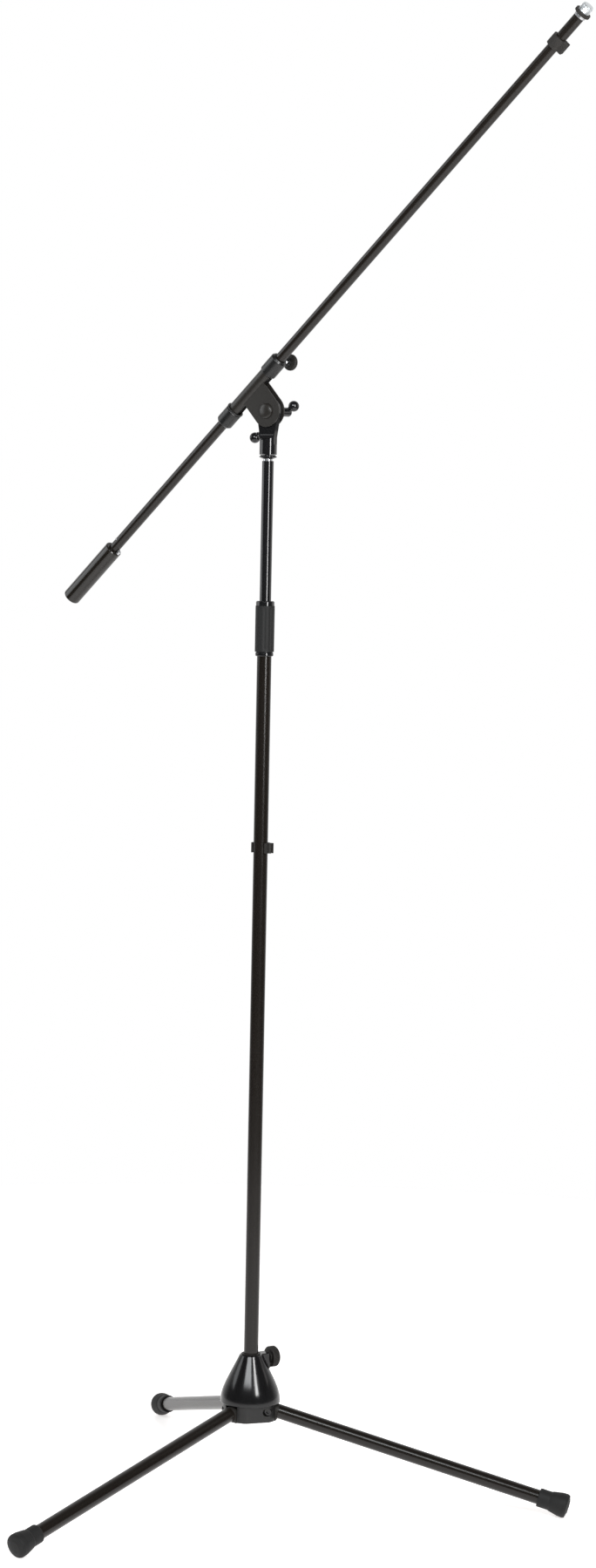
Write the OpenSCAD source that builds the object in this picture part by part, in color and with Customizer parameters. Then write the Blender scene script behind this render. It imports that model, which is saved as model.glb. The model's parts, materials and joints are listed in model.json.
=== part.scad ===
// Boom microphone stand: folding three-leg base, two-section column with a grip clutch,
// tilting clamp head and a sliding boom with a counterweight.
// Z is up, the column axis is the Z axis, the floor is z = 0, and the boom rises toward +X.

/* [Base] */
// Distance from the column axis to the end of each foot
foot_end_r = 449.5; // [400:0.5:520]
// Height of the centre of each foot's end above the floor
foot_end_z = 15; // [14.5:0.1:15.5]
// Outer diameter of the leg tubes
leg_d = 20; // [19:0.1:20]
// Azimuth of the first leg, measured from the boom's side
first_leg_az = 25; // [0:1:60]
// Azimuth of the knob that clamps the column in the base
base_knob_az = 71; // [66:1:76]
// Diameter of the base knob
base_knob_d = 29; // [24:0.5:32]

/* [Column] */
// Outer diameter of the lower column tube
mast_d = 20; // [19.8:0.1:20.2]
// Height of the top face of the clutch
clutch_top_z = 1250; // [1100:1:1300]
// Outer diameter of the clutch's rubber grip
grip_d = 26.5; // [26.2:0.1:28]
// Height of the cable clip's centre on the lower tube
mast_clip_z = 909; // [300:1:1050]
// Outer diameter of the telescoping upper rod
rod_d = 16; // [15.8:0.1:16.2]
// Length of the upper rod
rod_length = 1000; // [700:5:1100]
// Height of the upper rod's top end
rod_top_z = 1442; // [1440:1:1600]

/* [Head] */
// Height of the boom's tilt axis above the floor
pivot_z = 1510.3; // [1508:0.1:1680]
// Thickness of the head's flat tongue
tongue_t = 7.4; // [7:0.1:7.8]
// Radius of the tongue's round end
tongue_r = 19.5; // [18:0.1:20]
// Distance from the tilt axis to the boom's own axis
boom_offset = 40.7; // [38:0.1:46]
// Angle of the tommy bar above the horizontal
bar_angle = 33.1; // [0:0.1:60]

/* [Boom] */
// Elevation of the boom above the horizontal
boom_elevation = 42.41; // [0:0.01:80]
// Outer diameter of the boom tube
boom_d = 14.8; // [14.6:0.1:14.9]
// Length of the boom from the tilt axis to the end of its tube
boom_reach = 697.5; // [500:0.5:900]
// Length of the boom from the tilt axis to the end of the counterweight
boom_tail = 438.5; // [300:1:500]
// Outer diameter of the counterweight
weight_d = 25; // [24:0.5:32]
// Length of the counterweight
weight_length = 106.5; // [60:0.5:150]
// Distance from the tilt axis to the centre of the boom's cable clip
boom_clip_s = 653; // [500:1:670]

/* [Hidden] */
$fn = 64;

// Colours
satin_black = [0.10, 0.10, 0.10];
gloss_black = [0.05, 0.05, 0.055];
matte_black = [0.16, 0.16, 0.16];
rubber_black = [0.20, 0.20, 0.19];
steel = [0.75, 0.76, 0.78];
inner_grey = [0.45, 0.45, 0.47];

// Clearances: between fixed pieces, in a running fit, and beside a moving piece
fit = 0.05;
run = 0.08;
gap = 0.4;

// Base: legs turn on screws in the hub, and the bell sits on the hub
tube_wall = 1.2;
leg_count = 3;
leg_pitch = 360 / leg_count;
leg_pin_r = 30;
leg_pin_z = 121.9;
leg_r = leg_d / 2;
leg_slope = atan2(leg_pin_z - foot_end_z, foot_end_r - leg_pin_r);
leg_length = norm([foot_end_r - leg_pin_r, leg_pin_z - foot_end_z]);
leg_tube_start = 12;
knuckle_r = 9.6;
knuckle_plug = 30;
knuckle_heel_u = 9;
knuckle_heel_h = 12;
leg_screw_r = 3;
screw_head_r = 5;
screw_head_h = 4.5;
screw_seat = 17;
screw_recess_r = 5.6;
screw_grip = 21.2;
hub_z0 = 107.8;
hub_z1 = 130.2;
hub_r = 39.5;
hub_flat = 36;
slot_w = 21;
slot_in = 12.5;
hub_screw_pos = 27;
hub_screw_r = 2;
hub_screw_head_r = 4;
hub_screw_head_h = 3;
hub_screw_len = 34;
bell_boss_r = 5;
bell_z0 = 130.6;
bell_top = 197.5;
bell_wall = 3.3;
bell_steps = 14;
bell_rim_r = 15.1;
bell_curve = [[42, bell_z0], [42, 150], [32.2, 163], [16, 196.5]];
sleeve_r = 15.2;
sleeve_z0 = 150;
bush_r = 12.15;
bush_flange_r = 13.2;
bush_flange_h = 1;
lug_reach = 27.5;
lug_w = 15;
lug_z0 = 175;
lug_z1 = 198;
clamp_z = 190;
clamp_screw_r = 4;
clamp_screw_in = 14;
knob_gap = 0.8;
base_knob_t = 12.5;
base_knob_hub_r = 8;
chamfer = 1.2;

// Feet
foot_collar_r = 12.9;
foot_collar_l = 16.5;
foot_length = 41;
foot_neck_r = 13.9;
foot_r = 16.7;
foot_end_wall = 7;
foot_crown = 2.6;

// Column
mast_r = mast_d / 2;
mast_bore_r = mast_r - tube_wall;
mast_z0 = 112;
end_plug_h = 22;
clutch_ring_z = clutch_top_z - 76;
clutch_ring_h = 5.5;
clutch_ring_r = 12.5;
clutch_body_r = 11.2;
collet_z0 = clutch_top_z - 23.7;
collet_z1 = clutch_top_z - 9;
collet_slits = 6;
nut_z0 = clutch_ring_z + clutch_ring_h + gap;
nut_bore_r = clutch_body_r + gap;
nut_wall = 0.8;
nut_ring_r = 12.75;
nut_ring_h = 6.5;
nut_lip_h = 4;
grip_flutes = 10;
flute_r = 3;
flute_depth = 0.35;
rod_r = rod_d / 2;
rod_bore_r = 6.3;
rod_z0 = rod_top_z - rod_length;
guide_h = 12;
guide_plug_h = 18;
stud_plug_h = 25;
stud_ring_h = 2.8;
stud_ring_r = 6.5;
stud_r = 4.75;
stud_top = pivot_z - 44.3;

// Head
lock_nut_z0 = rod_top_z + stud_ring_h + 0.2;
lock_nut_h = 5.2;
lock_nut_r = 12;
lock_nut_notches = 6;
head_z0 = lock_nut_z0 + lock_nut_h + gap;
head_r = 12;
head_flat_z = pivot_z - 29;
runout_r = 11;
runout_cut = 0.15;
neck_w0 = 24;
neck_w1 = 30;
pivot_r = 5;

// Clamp bracket, in the boom's frame: x along the boom, z away from the tilt axis
sheet_t = 1.7;
wrap_in_r = 8.4;
wrap_r = wrap_in_r + sheet_t;
wrap_s0 = -59;
wrap_s1 = 49;
plate_in = 4.9;
plate_out = 6.6;
plate_half_w = 22;
disc_r = 16.5;
disc_t = 0.9;
dome_r = 10.4;
dome_h = 4;
dome_sphere_r = 15.8;
washer_r = 8.5;
washer_t = 1.4;
bolt_thread_r = 4;
bolt_end = 33;
collar_r = 12;
collar_bore_r = wrap_r + fit;
collar_mouth_r = 7.8;
upper_collar_s = [33, 61.5];
lower_collar_s = [-69, -41];
collar_lip_r = 12.6;
collar_lip_h = 2;
boss_y = 18.5;
boss_r = 5.5;

// Tilt nut and tommy bar, about the tilt axis
tilt_nut_y0 = plate_out + washer_t + gap;
tilt_nut_y1 = 45;
tilt_nut_r = 6.5;
tilt_flange_r = 8;
tilt_flange_h = 3;
bar_y = 40;
bar_r = 2.9;
ball_r = 7.5;
ball_near = 14.4;
ball_far = 64.3;
ball_socket = 5;

// Boom knob
boom_knob_s = 55.5;
knob_screw_r = 3;
knob_screw_tip = 7.75;
boom_knob_hub_y = 19.5;
boom_knob_y = 26;
boom_knob_end = 32;
boom_knob_hub_r = 5;
boom_knob_r = 11.35;

// Boom
boom_r = boom_d / 2;
boom_bore_r = boom_r - tube_wall;
boom_tube_s0 = -boom_tail + 7.5;
adapter_plug = 36;
shoulder_h = 4;
shoulder_r = 8.1;
core_r = 4.75;
adapter_r = 7.94;
adapter_neck_r = 7.6;
adapter_s0 = boom_reach + shoulder_h + 0.2;
adapter_neck_h = 4.8;
adapter_pin_h = 9;
adapter_crown = 1.2;
adapter_grooves = 8;
groove_w = 1.2;
groove_depth = 0.6;
ring_s0 = boom_reach + shoulder_h + gap;
ring_h = 4.4;
ring_r = 11.2;
stop_pin_s = -316;
stop_pin_r = 1.6;
stop_pin_reach = 8.3;
stop_pin_tilt = 60;
weight_screw_r = 2;
weight_screw_head_r = 2.6;
weight_screw_head_h = 5;
weight_screw_depth = 12;
weight_screw_pos = 10;
weight_round = 2.8;

// Cable clips: a jaw open on one side, snapped on the tube, and a block with an open channel
jaw_t = 3.2;
jaw_mouth = 115;
jaw_mouth_az = 95;
block_w = 11;
channel_wall = 1;
mast_clip_h = 14;
mast_clip_az = 9;
mast_clip_reach = 18.3;
mast_channel_r = 3.3;
boom_clip_l = 16;
boom_clip_roll = 19;
boom_clip_reach = 14.8;
boom_channel_r = 2.5;

function bezier(p, t) =
    pow(1 - t, 3) * p[0] + 3 * pow(1 - t, 2) * t * p[1]
    + 3 * (1 - t) * pow(t, 2) * p[2] + pow(t, 3) * p[3];

// ---- Frames ----

module at_leg(i) {
    rotate([0, 0, first_leg_az + i * leg_pitch]) translate([leg_pin_r, 0, leg_pin_z]) children();
}

module along_leg(i) {
    at_leg(i) rotate([0, leg_slope, 0]) children();
}

module at_base_knob() {
    rotate([0, 0, base_knob_az]) translate([0, 0, clamp_z]) rotate([0, 90, 0]) children();
}

module boom_frame() {
    translate([0, 0, pivot_z]) rotate([0, -boom_elevation, 0]) children();
}

// Turns +Z to point along the boom, on the boom's axis
module boom_axis() {
    boom_frame() translate([0, 0, boom_offset]) rotate([0, 90, 0]) children();
}

// Turns +Z to point along +Y, on the tilt axis
module tilt_axis() {
    translate([0, 0, pivot_z]) rotate([-90, 0, 0]) children();
}

// Turns +Z to point along the tommy bar, toward its upper ball
module bar_axis() {
    translate([0, bar_y, pivot_z]) rotate([0, 90 - bar_angle, 0]) children();
}

// ---- Shared shapes ----

// A tube or solid turned part from height a to b
module pipe(a, b, r_out, r_in) {
    difference() {
        translate([0, 0, a]) cylinder(h = b - a, r = r_out);
        translate([0, 0, a - 1]) cylinder(h = b - a + 2, r = r_in);
    }
}

module rod(a, b, r) {
    translate([0, 0, a]) cylinder(h = b - a, r = r);
}

module turned(points) {
    rotate_extrude() polygon(points);
}

// A jaw of bore r on a tube along Z, with a block toward +X; the jaw opens beside it, on +Y where side is 1
module cable_clip(r, h, reach, channel_r, side) {
    channel_x = reach - channel_wall - channel_r;
    far = 3 * reach;
    edges = [for (k = [-1 : 1]) side * jaw_mouth_az + k * jaw_mouth / 2];
    translate([0, 0, -h / 2]) linear_extrude(h) difference() {
        union() {
            circle(r = r + jaw_t);
            polygon([
                [0, -block_w / 2], [reach - 1.5, -block_w / 2], [reach, 1.5 - block_w / 2],
                [reach, block_w / 2 - 1.5], [reach - 1.5, block_w / 2], [0, block_w / 2]
            ]);
        }
        circle(r = r + fit);
        polygon(concat([[0, 0]], [for (a = edges) far * [cos(a), sin(a)]]));
        translate([channel_x, 0]) circle(r = channel_r);
        translate([channel_x, -channel_r * 0.65]) square([reach, channel_r * 1.3]);
    }
}

// ---- Base ----

module bell_solid() {
    outline = [for (k = [0 : bell_steps]) bezier(bell_curve, k / bell_steps)];
    turned(concat([[0, bell_z0]], outline, [[bell_rim_r, bell_top], [0, bell_top]]));
}

module bell_cavity() {
    outline = [for (k = [0 : bell_steps - 2]) bezier(bell_curve, k / bell_steps) - [bell_wall, 0]];
    top = outline[bell_steps - 2];
    turned(concat([[0, bell_z0 - 1], [outline[0][0], bell_z0 - 1]], outline, [[0, top[1]]]));
}

module base_bell() {
    color(gloss_black) difference() {
        union() {
            difference() {
                bell_solid();
                bell_cavity();
            }
            rod(sleeve_z0, bell_top - 1, sleeve_r);
            for (i = [0 : leg_count - 1]) {
                rotate([0, 0, first_leg_az + (i + 0.5) * leg_pitch]) translate([hub_screw_pos, 0, 0])
                    rod(bell_z0, 164, bell_boss_r);
            }
            intersection() {
                rotate([0, 0, base_knob_az]) translate([0, -lug_w / 2, lug_z0])
                    cube([lug_reach, lug_w, lug_z1 - lug_z0]);
                rod(lug_z0, lug_z1, lug_reach + 1);
            }
        }
        rod(bell_z0 - 1, lug_z1 + 1, bush_r + fit);
        at_base_knob() rod(bush_r - 2, lug_reach + 1, clamp_screw_r + run);
        for (i = [0 : leg_count - 1]) {
            rotate([0, 0, first_leg_az + (i + 0.5) * leg_pitch]) translate([hub_screw_pos, 0, 0])
                rod(bell_z0 - 1, 153, hub_screw_r + fit);
        }
    }
}

module leg_hub() {
    color(satin_black) difference() {
        intersection() {
            rod(hub_z0, hub_z1, hub_r);
            rotate([0, 0, first_leg_az]) translate([0, 0, hub_z0])
                cylinder(h = hub_z1 - hub_z0, r = 2 * hub_flat, $fn = 3);
        }
        rod(hub_z0 - 1, hub_z1 + 1, mast_r + gap);
        for (i = [0 : leg_count - 1]) {
            at_leg(i) translate([-slot_in, -slot_w / 2, -leg_pin_z])
                cube([hub_r, slot_w, hub_z1 + 1]);
            at_leg(i) rotate([90, 0, 0]) rod(-screw_grip - gap, hub_r, leg_screw_r + fit);
            at_leg(i) rotate([90, 0, 0]) rod(screw_seat, hub_r, screw_recess_r);
            rotate([0, 0, first_leg_az + (i + 0.5) * leg_pitch]) translate([hub_screw_pos, 0, 0]) {
                rod(hub_z0 - 1, hub_z1 + 1, hub_screw_r + 2 * fit);
                rod(hub_z0 - 1, hub_z0 + hub_screw_head_h + 1, hub_screw_head_r + gap);
            }
        }
    }
}

module mast_guide_bush() {
    color(matte_black) difference() {
        union() {
            rod(sleeve_z0, lug_z1 + bush_flange_h, bush_r);
            rod(lug_z1 + fit, lug_z1 + bush_flange_h, bush_flange_r);
        }
        rod(sleeve_z0 - 1, lug_z1 + bush_flange_h + 1, mast_r + run);
        at_base_knob() rod(mast_r - 2, bush_r + 1, clamp_screw_r + run);
    }
}

module clamp_shoe() {
    color(inner_grey) difference() {
        at_base_knob() rod(mast_r - 1, clamp_screw_in - gap / 2, clamp_screw_r - fit);
        rod(clamp_z - 10, clamp_z + 10, mast_r + 0.3);
    }
}

module leg_screws() {
    color(gloss_black) for (i = [0 : leg_count - 1]) at_leg(i) rotate([90, 0, 0]) difference() {
        union() {
            rod(-screw_grip, screw_seat + 1, leg_screw_r);
            rod(screw_seat + fit, screw_seat + screw_head_h, screw_head_r);
        }
        translate([0, 0, screw_seat + 2]) cylinder(h = screw_head_h, r = 2.3, $fn = 6);
    }
}

module hub_screws() {
    color(steel) for (i = [0 : leg_count - 1]) {
        rotate([0, 0, first_leg_az + (i + 0.5) * leg_pitch]) translate([hub_screw_pos, 0, hub_z0])
            difference() {
                union() {
                    rod(0.4, hub_screw_head_h + 0.9, hub_screw_head_r);
                    rod(hub_screw_head_h, hub_screw_len, hub_screw_r);
                }
                translate([0, 0, -1]) cylinder(h = 3, r = 1.8, $fn = 6);
            }
    }
}

module base_knob() {
    a = lug_reach + knob_gap;
    r = base_knob_d / 2;
    b = a + base_knob_t;
    color(matte_black) at_base_knob() difference() {
        turned([
            [0, a], [base_knob_hub_r, a], [base_knob_hub_r, a + 1.5], [r - chamfer, a + 1.5],
            [r, a + 1.5 + chamfer], [r, b - chamfer], [r - chamfer, b], [0, b]
        ]);
        rod(a - 1, b - 3, clamp_screw_r + fit);
    }
}

module base_knob_screw() {
    color(steel) at_base_knob() rod(clamp_screw_in, lug_reach + knob_gap + base_knob_t - 3.2, clamp_screw_r);
}

// ---- Legs ----

module leg_tube(i) {
    color(satin_black) along_leg(i) rotate([0, 90, 0])
        pipe(leg_tube_start, leg_length - foot_end_wall - fit, leg_r, leg_r - tube_wall);
}

module leg_knuckle(i) {
    color(matte_black) along_leg(i) difference() {
        union() {
            intersection() {
                rotate([0, 90, 0]) rod(-leg_d, leg_tube_start - fit, leg_r - fit);
                rotate([90, 0, 0]) translate([0, 0, -leg_r]) linear_extrude(leg_d) union() {
                    circle(r = knuckle_r);
                    translate([0, -knuckle_r]) square([leg_d, 2 * knuckle_r]);
                }
            }
            translate([knuckle_heel_u, fit - leg_r, -knuckle_heel_h])
                cube([leg_tube_start - fit - knuckle_heel_u, leg_d - 2 * fit, knuckle_heel_h]);
            rotate([0, 90, 0])
                rod(leg_tube_start - 1, leg_tube_start + knuckle_plug, leg_r - tube_wall - fit);
        }
        rotate([90, 0, 0]) translate([0, 0, -leg_d]) cylinder(h = 2 * leg_d, r = leg_screw_r + run);
    }
}

module leg_foot(i) {
    end = leg_length;
    collar = end - foot_length;
    color(rubber_black) difference() {
        along_leg(i) rotate([0, 90, 0]) turned([
            [leg_r + fit, collar], [foot_collar_r - 0.6, collar], [foot_collar_r, collar + 0.6],
            [foot_collar_r, collar + foot_collar_l], [foot_neck_r, collar + foot_collar_l + 3],
            [foot_r - 0.3, end - 10], [foot_r, end - 3], [foot_r - 1.2, end],
            [foot_r / 2, end + foot_crown * 0.8], [0, end + foot_crown],
            [0, end - foot_end_wall], [leg_r + fit, end - foot_end_wall]
        ]);
        translate([-2 * foot_end_r, -2 * foot_end_r, -foot_end_r])
            cube([4 * foot_end_r, 4 * foot_end_r, foot_end_r]);
    }
}

module leg_tube_right() leg_tube(0);
module leg_tube_rear() leg_tube(1);
module leg_tube_left() leg_tube(2);
module leg_knuckle_right() leg_knuckle(0);
module leg_knuckle_rear() leg_knuckle(1);
module leg_knuckle_left() leg_knuckle(2);
module leg_foot_right() leg_foot(0);
module leg_foot_rear() leg_foot(1);
module leg_foot_left() leg_foot(2);

// ---- Column ----

module mast_tube() {
    color(satin_black) pipe(mast_z0, collet_z0 - 1, mast_r, mast_bore_r);
}

module mast_end_plug() {
    color(matte_black) difference() {
        union() {
            rod(mast_z0 - 2, mast_z0 - fit, mast_r - fit);
            rod(mast_z0 - 1, mast_z0 + end_plug_h, mast_bore_r - fit);
        }
        rod(mast_z0 + 2, mast_z0 + end_plug_h + 1, mast_bore_r - 2);
    }
}

module mast_cable_clip() {
    color(matte_black) rotate([0, 0, mast_clip_az]) translate([0, 0, mast_clip_z])
        cable_clip(mast_r, mast_clip_h, mast_clip_reach, mast_channel_r, -1);
}

module clutch_body() {
    color(gloss_black) difference() {
        union() {
            turned([
                [0, clutch_ring_z], [clutch_ring_r - 0.8, clutch_ring_z],
                [clutch_ring_r, clutch_ring_z + 0.8],
                [clutch_ring_r, clutch_ring_z + clutch_ring_h - 0.8],
                [clutch_ring_r - 0.8, clutch_ring_z + clutch_ring_h], [0, clutch_ring_z + clutch_ring_h]
            ]);
            rod(clutch_ring_z + 1, collet_z0 - 0.2, clutch_body_r);
        }
        rod(clutch_ring_z - 1, collet_z0, mast_r + fit);
    }
}

module clutch_collet() {
    color(inner_grey) difference() {
        turned([
            [rod_r + run, collet_z0], [clutch_body_r, collet_z0], [clutch_body_r, collet_z1 - 4],
            [clutch_body_r - 1.6, collet_z1], [rod_r + run, collet_z1]
        ]);
        for (k = [0 : collet_slits - 1]) {
            rotate([0, 0, k * 360 / collet_slits]) translate([rod_r - 1, -0.5, collet_z0 + 3])
                cube([clutch_body_r, 1, collet_z1]);
        }
    }
}

module clutch_nut() {
    top = clutch_top_z;
    ring = top - nut_ring_h;
    outer = nut_bore_r + nut_wall;
    color(gloss_black) turned([
        [nut_bore_r, nut_z0], [outer, nut_z0], [outer, ring], [nut_ring_r, ring], [nut_ring_r, top - 1],
        [nut_ring_r - 1, top], [rod_r + gap, top], [rod_r + gap, top - nut_lip_h], [nut_bore_r, collet_z1 - 3]
    ]);
}

module clutch_grip() {
    color(rubber_black) difference() {
        pipe(nut_z0 + 0.2, clutch_top_z - nut_ring_h - 0.1, grip_d / 2, nut_bore_r + nut_wall + fit);
        for (k = [0 : grip_flutes - 1]) {
            rotate([0, 0, k * 360 / grip_flutes]) translate([grip_d / 2 + flute_r - flute_depth, 0, 0])
                rod(nut_z0 + 3, clutch_top_z - nut_ring_h - 3, flute_r);
        }
    }
}

module upper_rod() {
    color(gloss_black) pipe(rod_z0, rod_top_z, rod_r, rod_bore_r);
}

module rod_guide_bush() {
    color(matte_black) union() {
        rod(rod_z0 - guide_h, rod_z0 - fit, mast_bore_r - run);
        rod(rod_z0 - 1, rod_z0 + guide_plug_h, rod_bore_r - fit);
    }
}

module rod_stud() {
    color(steel) union() {
        rod(rod_top_z - stud_plug_h, rod_top_z + 1, rod_bore_r - fit);
        rod(rod_top_z + fit, rod_top_z + stud_ring_h, stud_ring_r);
        rod(rod_top_z + 1, stud_top, stud_r);
    }
}

module head_lock_nut() {
    top = lock_nut_z0 + lock_nut_h;
    color(gloss_black) difference() {
        turned([
            [stud_r + fit, lock_nut_z0], [7.5, lock_nut_z0], [lock_nut_r, lock_nut_z0 + 2],
            [lock_nut_r, lock_nut_z0 + 3.4], [10.5, top - 1], [10.5, top], [stud_r + fit, top]
        ]);
        for (k = [0 : lock_nut_notches - 1]) {
            rotate([0, 0, (k + 0.5) * 360 / lock_nut_notches]) translate([lock_nut_r + 0.6, 0, 0])
                rod(lock_nut_z0 - 1, top + 1, 1.8);
        }
    }
}

// ---- Head and clamp ----

module tongue_outline() {
    translate([0, pivot_z]) circle(r = tongue_r);
    polygon([
        [-neck_w0 / 2, head_z0 + 14], [neck_w0 / 2, head_z0 + 14], [neck_w0 / 2, head_flat_z - 8],
        [neck_w1 / 2, pivot_z - 20], [17.5, pivot_z - 7], [-17.5, pivot_z - 7],
        [-neck_w1 / 2, pivot_z - 20], [-neck_w0 / 2, head_flat_z - 8]
    ]);
}

module swivel_head() {
    runout_y = tongue_t / 2 + runout_r - runout_cut;
    color(gloss_black) difference() {
        union() {
            difference() {
                rod(head_z0, head_flat_z, head_r);
                for (y = [-runout_y, runout_y]) {
                    translate([-20, y, head_flat_z]) rotate([0, 90, 0]) rod(0, 40, runout_r);
                }
            }
            translate([0, tongue_t / 2, 0]) rotate([90, 0, 0]) linear_extrude(tongue_t) tongue_outline();
        }
        rod(head_z0 - 1, stud_top + 1, stud_r + run);
        tilt_axis() rod(-tongue_t, tongue_t, pivot_r + run);
    }
}

module boom_clamp_bracket() {
    color(satin_black) boom_frame() difference() {
        union() {
            translate([0, 0, boom_offset]) rotate([0, 90, 0]) rod(wrap_s0, wrap_s1, wrap_r);
            translate([-plate_half_w, -plate_out, 0]) cube([2 * plate_half_w, 2 * plate_out, boom_offset]);
            rotate([90, 0, 0]) rod(-plate_out, plate_out, plate_half_w);
        }
        translate([0, 0, boom_offset]) rotate([0, 90, 0]) rod(wrap_s0 - 1, wrap_s1 + 1, wrap_in_r);
        translate([wrap_s0 - 1, -plate_in, -plate_half_w - 1])
            cube([wrap_s1 - wrap_s0 + 2, 2 * plate_in, boom_offset + plate_half_w + 1]);
        rotate([90, 0, 0]) rod(-plate_out - 1, plate_out + 1, pivot_r + fit);
    }
}

module boom_liner() {
    color(inner_grey) difference() {
        boom_axis() pipe(wrap_s0, wrap_s1, wrap_in_r - fit, boom_r + run);
        boom_frame() translate([wrap_s0 - 1, -2, 0]) cube([wrap_s1 - wrap_s0 + 2, 4, boom_offset]);
    }
}

module friction_discs() {
    color(inner_grey) tilt_axis() {
        pipe(plate_in - fit - disc_t, plate_in - fit, disc_r, pivot_r + fit);
        pipe(-plate_in + fit, -plate_in + fit + disc_t, disc_r, pivot_r + fit);
    }
}

module pivot_bolt() {
    head = -plate_out - fit;
    color(gloss_black) tilt_axis() union() {
        intersection() {
            translate([0, 0, head - dome_h + dome_sphere_r]) sphere(r = dome_sphere_r);
            rod(head - dome_h - 1, head, dome_r);
        }
        rod(head - 1, tilt_nut_y0 - gap / 2, pivot_r);
        rod(0, bolt_end, bolt_thread_r);
    }
}

module pivot_washer() {
    color(steel) tilt_axis() pipe(plate_out + fit, plate_out + washer_t, washer_r, pivot_r + fit);
}

module upper_collar() {
    a = upper_collar_s[0];
    b = upper_collar_s[1];
    color(satin_black) difference() {
        union() {
            boom_axis() turned([
                [0, a], [collar_r - 0.8, a], [collar_r, a + 0.8], [collar_r, b - 2],
                [collar_r - 1.6, b], [0, b]
            ]);
            at_boom_knob() rod(0, boss_y, boss_r);
        }
        boom_axis() rod(a - 1, wrap_s1 + gap, collar_bore_r);
        boom_axis() rod(a, b + 1, collar_mouth_r);
        at_boom_knob() rod(0, boss_y + 1, knob_screw_r + run);
    }
}

module lower_collar() {
    a = lower_collar_s[0];
    b = lower_collar_s[1];
    color(satin_black) boom_axis() difference() {
        turned([
            [0, a], [collar_r - 1.6, a], [collar_r, a + 2], [collar_r, b - collar_lip_h - 0.8],
            [collar_r - 0.5, b - collar_lip_h - 0.4], [collar_r - 0.5, b - collar_lip_h],
            [collar_lip_r, b - collar_lip_h], [collar_lip_r, b], [0, b]
        ]);
        rod(wrap_s0 - gap, b + 1, collar_bore_r);
        rod(a - 1, b, collar_mouth_r);
    }
}

module tilt_nut() {
    color(gloss_black) difference() {
        tilt_axis() turned([
            [bolt_thread_r + run, tilt_nut_y0], [tilt_flange_r, tilt_nut_y0],
            [tilt_flange_r, tilt_nut_y0 + tilt_flange_h], [tilt_nut_r, tilt_nut_y0 + tilt_flange_h + 1],
            [tilt_nut_r, tilt_nut_y1 - 1], [tilt_nut_r - 1, tilt_nut_y1], [0, tilt_nut_y1],
            [0, bolt_end + 1], [bolt_thread_r + run, bolt_end + 1]
        ]);
        bar_axis() rod(-2 * tilt_nut_r, 2 * tilt_nut_r, bar_r + run);
    }
}

module tommy_bar() {
    color(gloss_black) bar_axis()
        rod(-ball_far + ball_r - ball_socket, ball_near - ball_r + ball_socket, bar_r);
}

// A ball on the bar's end, with its socket facing the bar; side is 1 for the upper end, -1 for the lower
module bar_ball(distance, side) {
    color(gloss_black) bar_axis() rotate([0, 90 - 90 * side, 0]) translate([0, 0, distance])
        difference() {
            sphere(r = ball_r);
            rod(-ball_r - 1, ball_socket - ball_r + fit, bar_r + fit);
        }
}

module bar_ball_upper() bar_ball(ball_near, 1);
module bar_ball_lower() bar_ball(ball_far, -1);

module at_boom_knob() {
    boom_frame() translate([boom_knob_s, 0, boom_offset]) rotate([-90, 0, 0]) children();
}

module boom_knob() {
    color(matte_black) at_boom_knob() difference() {
        turned([
            [0, boom_knob_hub_y], [boom_knob_hub_r, boom_knob_hub_y], [boom_knob_hub_r, boom_knob_y - 1],
            [boom_knob_r - 1, boom_knob_y], [boom_knob_r, boom_knob_y + 1],
            [boom_knob_r, boom_knob_end - 1], [boom_knob_r - 1, boom_knob_end], [0, boom_knob_end]
        ]);
        rod(boom_knob_hub_y - 1, boom_knob_end - 2, knob_screw_r + fit);
    }
}

module boom_knob_screw() {
    color(steel) at_boom_knob() rod(knob_screw_tip, boom_knob_end - 2.2, knob_screw_r);
}

// ---- Boom ----

module boom_tube() {
    color(satin_black) difference() {
        boom_axis() pipe(boom_tube_s0, boom_reach, boom_r, boom_bore_r);
        at_stop_pin() rod(boom_bore_r - 2, boom_r + 2, stop_pin_r + fit);
    }
}

module boom_thread_stud() {
    color(steel) boom_axis() union() {
        rod(boom_reach - adapter_plug, boom_reach + 1, boom_bore_r - fit);
        turned([
            [0, boom_reach + fit], [shoulder_r - 0.5, boom_reach + fit], [shoulder_r, boom_reach + 0.5],
            [shoulder_r, boom_reach + shoulder_h - 0.5], [shoulder_r - 0.5, boom_reach + shoulder_h],
            [0, boom_reach + shoulder_h]
        ]);
        rod(boom_reach + 1, adapter_s0 + adapter_neck_h + adapter_pin_h - 2, core_r);
    }
}

module thread_adapter() {
    pin = adapter_s0 + adapter_neck_h;
    end = pin + adapter_pin_h;
    color(steel) boom_axis() difference() {
        turned([
            [0, adapter_s0], [adapter_neck_r, adapter_s0], [adapter_neck_r, pin], [adapter_r, pin],
            [adapter_r, end], [adapter_r - 1, end + 1], [0, end + adapter_crown]
        ]);
        rod(adapter_s0 - 1, end - 1.8, core_r + fit);
        for (k = [0 : adapter_grooves - 1]) {
            rotate([0, 0, k * 360 / adapter_grooves])
                translate([adapter_r - groove_depth, -groove_w / 2, pin - 0.5])
                    cube([2, groove_w, adapter_pin_h + 4]);
        }
    }
}

module lock_ring() {
    color(matte_black) boom_axis() turned([
        [adapter_neck_r + run, ring_s0], [ring_r - 0.7, ring_s0], [ring_r, ring_s0 + 0.7],
        [ring_r, ring_s0 + ring_h - 0.7], [ring_r - 0.7, ring_s0 + ring_h],
        [adapter_neck_r + run, ring_s0 + ring_h]
    ]);
}

module boom_cable_clip() {
    color(matte_black) boom_axis() translate([0, 0, boom_clip_s]) rotate([0, 0, boom_clip_roll])
        cable_clip(boom_r, boom_clip_l, boom_clip_reach, boom_channel_r, 1);
}

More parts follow.
